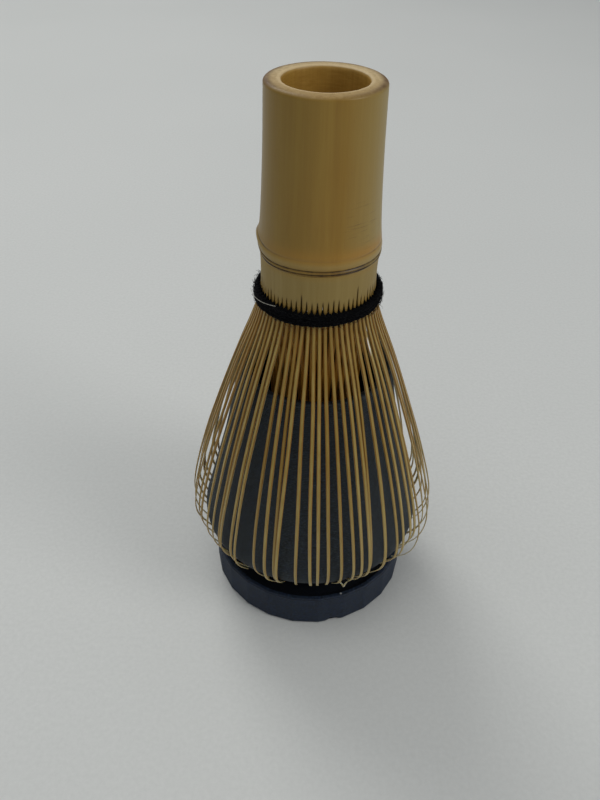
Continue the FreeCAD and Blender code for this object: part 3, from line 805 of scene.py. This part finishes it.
# knot: a small overhand knot with two frayed tails
t = np.linspace(0, TAU, 120, endpoint=False)
kx = (np.sin(t) + 2 * np.sin(2 * t)) / 3
ky = (np.cos(t) - 2 * np.cos(2 * t)) / 3
kz = -np.sin(3 * t)
kp = np.stack([0.0 * t, kx * 1.55, ky * 0.95], -1)
kp[:, 0] = 15.02 + kz * 0.48
kp[:, 2] += 84.3
knot = Pile()
v, f = tube_along(kp[:, [1, 0, 2]], 0.50, 12, closed=True, lobes=2, lobe_depth=0.10, lobe_turns=9)
v[:, 0] *= -1
knot.add(v, [g[::-1] for g in f])
for side in (-1, 1):
    q = np.linspace(0, 1, 26)
    px = side * (0.9 + 1.5 * q + 0.25 * np.sin(q * 4))
    py = 15.05 + 0.25 * q
    pz = 84.1 - 5.3 * q
    v, f = tube_along(np.stack([px, py + 0 * q, pz], -1), np.interp(q, [0, 0.85, 1], [0.36, 0.34, 0.24]), 10, lobes=2, lobe_depth=0.14, lobe_turns=4)
    knot.add(v, f)
    for k in range(16):
        e = np.linspace(0, 1, 4)
        a0, b0 = rng.uniform(-0.22, 0.22), rng.uniform(-0.2, 0.2)
        fx = px[-1] + a0 + e * (side * 0.15 + rng.uniform(-0.35, 0.35))
        fy = py[-1] + b0 + e * rng.uniform(-0.2, 0.2)
        fz = pz[-1] + 0.15 - e * rng.uniform(0.4, 1.0)
        v, f = tube_along(np.stack([fx, fy, fz], -1), np.linspace(0.05, 0.02, 4), 4)
        knot.add(v, f)
knot_ob = make("lashing_knot", np.concatenate(knot.v), knot.f, "whisk", M_THREAD, None, ["thread_knot"])


# ------------------------------------------------------------------ stand
def facet_radius(theta, r):
    """Radius of a 24-sided ring whose corners are at r; rounder further in."""
    s = TAU / 24
    a = (theta % s) - s / 2
    flat = math.cos(s / 2) / np.cos(a)
    return r * flat


SEG = 24 * 12
th = np.arange(SEG) * TAU / SEG + TAU / 48
prof = [(0.0, 0.0001, 0), (0.0, 12.0, 0), (0.0, 22.0, 1), (0.0, 24.3, 1), (0.12, 24.62, 1), (0.35, 24.9, 1)]
for k, z in enumerate(np.arange(0.55, 9.0, 0.1)):
    prof.append((z, 24.975 + 0.030 * math.sin(z / 0.46 * TAU) + 0.012 * noise(int(z / 0.46), 71), 1))
prof += [(9.08, 24.97, 1), (9.25, 24.88, 1), (9.40, 24.72, 1), (9.48, 24.55, 1), (9.5, 24.35, 1), (9.5, 23.75, 0.5), (9.42, 23.62, 0), (9.2, 23.58, 0),
         (7.6, 23.55, 0), (7.42, 23.4, 0), (7.4, 23.1, 0), (7.4, 18.0, 0), (7.4, 13.0, 0), (7.45, 12.3, 0), (7.8, 12.03, 0), (9.5, 12.0, 0), (12.0, 12.0, 0),
         (15.4, 12.0, 0), (15.55, 11.9, 0), (15.6, 11.7, 0), (15.6, 6.0, 0), (15.6, 0.0001, 0)]
rows = []
for z, r, fac in prof:
    rr = r * (1 - fac) + facet_radius(th - TAU / 48, r) * fac
    zz = np.full(SEG, z)
    if 0 < z < 1.6 and r > 24:       # a small nick in the lower edge, at the front
        off = ((th - math.radians(285.5) + math.pi) % TAU - math.pi) * 25
        hit = (np.exp(-(off / 0.75) ** 2) + 0.6 * np.exp(-((off - 1.4) / 0.5) ** 2)) * (1 - z / 1.6) ** 0.6
        rr = rr - 0.9 * hit
    rows.append(np.stack([rr * np.cos(th), rr * np.sin(th), zz], -1))
v = np.concatenate(rows)
f = grid_faces(len(rows), SEG)
# painted shade: the ring's channel and the neck under the tulip are marked 'deep' to be painted near black
deep = np.repeat([1.0 if (z > 7 and r < 23.7 and z < 15.9) else 0.0 for z, r, _ in prof], SEG)
base_ob = make("stand_ring", v, f, "stand", M_BASE, {"deep": deep}, ["stand_base"], weld=0.003)
sharpen(base_ob, 12)

BULB = [(12.6, 21.3), (14.5, 23.2), (17.0, 25.5), (19.4, 27.0), (21.2, 27.25), (24.0, 26.65), (30.0, 25.05), (37.0, 23.25),
        (45.0, 21.25), (55.0, 19.25), (65.0, 17.6)]
out_c = cubic(BULB, 420)
in_c = cubic([(z, r - 2.3) for z, r in BULB if z > 20.1], 90)[::-1]
pts = [(15.6, 0.0001), (15.6, 6.0), (15.6, 12.1), (15.4, 12.1), (13.5, 12.1), (12.3, 12.12), (12.2, 12.3), (12.2, 16.0), (12.2, 20.5), (12.25, 20.85), (12.4, 21.1)]
pts += [(z, r + 0.030 * math.sin(z / 0.44 * TAU)) for z, r in out_c]
rim_r, rim_c = 1.15, (65.0, 17.6 - 1.15)
for a in np.linspace(0, 180, 15)[1:-1]:
    t_ = math.radians(a)
    pts.append((65.0 + 1.0 * math.sin(t_), 16.45 + 1.15 * math.cos(t_)))
pts += [(z, r) for z, r in in_c]
pts += [(19.4, 23.2), (18.8, 22.8), (18.6, 22.3), (18.6, 12.0), (18.6, 0.0001)]
SEGB = 224
th = np.arange(SEGB) * TAU / SEGB
Zb = np.array([p[0] for p in pts])[:, None] + np.zeros(SEGB)
Rb = np.array([p[1] for p in pts])[:, None] + 0.02 * np.sin(3 * th + 0.4) * (np.array([p[1] for p in pts])[:, None] > 14)
v = np.stack([Rb * np.cos(th), Rb * np.sin(th), Zb], -1).reshape(-1, 3)
f = grid_faces(len(pts), SEGB)
# painted shade: the tulip's underside and, below its rim, its inside wall are marked 'deep' to be painted darker, more
# so further down
deep = np.repeat([1.0 if z < 12.3 else float(smooth(60.0, 40.0, z)) if (r < 23 and k > 460) else 0.0 for k, (z, r) in enumerate(pts)], SEGB)
bulb_ob = make("stand_tulip", v, f, "stand", M_BULB, {"deep": deep}, ["stand_bulb"], weld=0.003)
sharpen(bulb_ob, 35)

# ------------------------------------------------------------------ carried-over CAD nodes
for name, mat in (("node_septum", M_FLESH), ("thread_weave", M_THREAD)):
    ob = NODES[name]
    ob.data.materials.clear()
    ob.data.materials.append(mat)

# ------------------------------------------------------------------ floor, light
fl = bpy.data.meshes.new("floor")
fl.from_pydata([(-3, -3, 0), (3, -3, 0), (3, 3, 0), (-3, 3, 0)], [], [(0, 1, 2, 3)])
floor = bpy.data.objects.new("floor", fl)
bpy.context.scene.collection.objects.link(floor)
fl.materials.append(M_FLOOR)


def area(name, location, target, size, size_y, power, colour):
    li = bpy.data.lights.new(name, "AREA")
    li.shape = "RECTANGLE"
    li.size, li.size_y = size, size_y
    li.energy = power
    li.color = colour
    ob = bpy.data.objects.new(name, li)
    bpy.context.scene.collection.objects.link(ob)
    ob.location = location
    d = Vector(target) - Vector(location)
    ob.rotation_euler = d.to_track_quat("-Z", "Y").to_euler()
    return ob


area("back_left", (-0.44, 0.80, 0.95), (0, 0, 0.05), 0.50, 0.40, 4.4, (1.0, 1.0, 0.97))
area("front_right", (0.95, -0.42, 0.80), (0, 0, 0.05), 0.55, 0.55, 3.7, (1.0, 0.99, 0.96))
area("overhead", (-0.25, -0.15, 1.3), (-0.05, -0.05, 0.0), 0.8, 0.8, 2.9, (1.0, 1.0, 0.98))
world = bpy.data.worlds.new("soft")
world.use_nodes = True
world.node_tree.nodes["Background"].inputs["Color"].default_value = (0.95, 0.98, 1.0, 1.0)
world.node_tree.nodes["Background"].inputs["Strength"].default_value = 0.28
bpy.context.scene.world = world
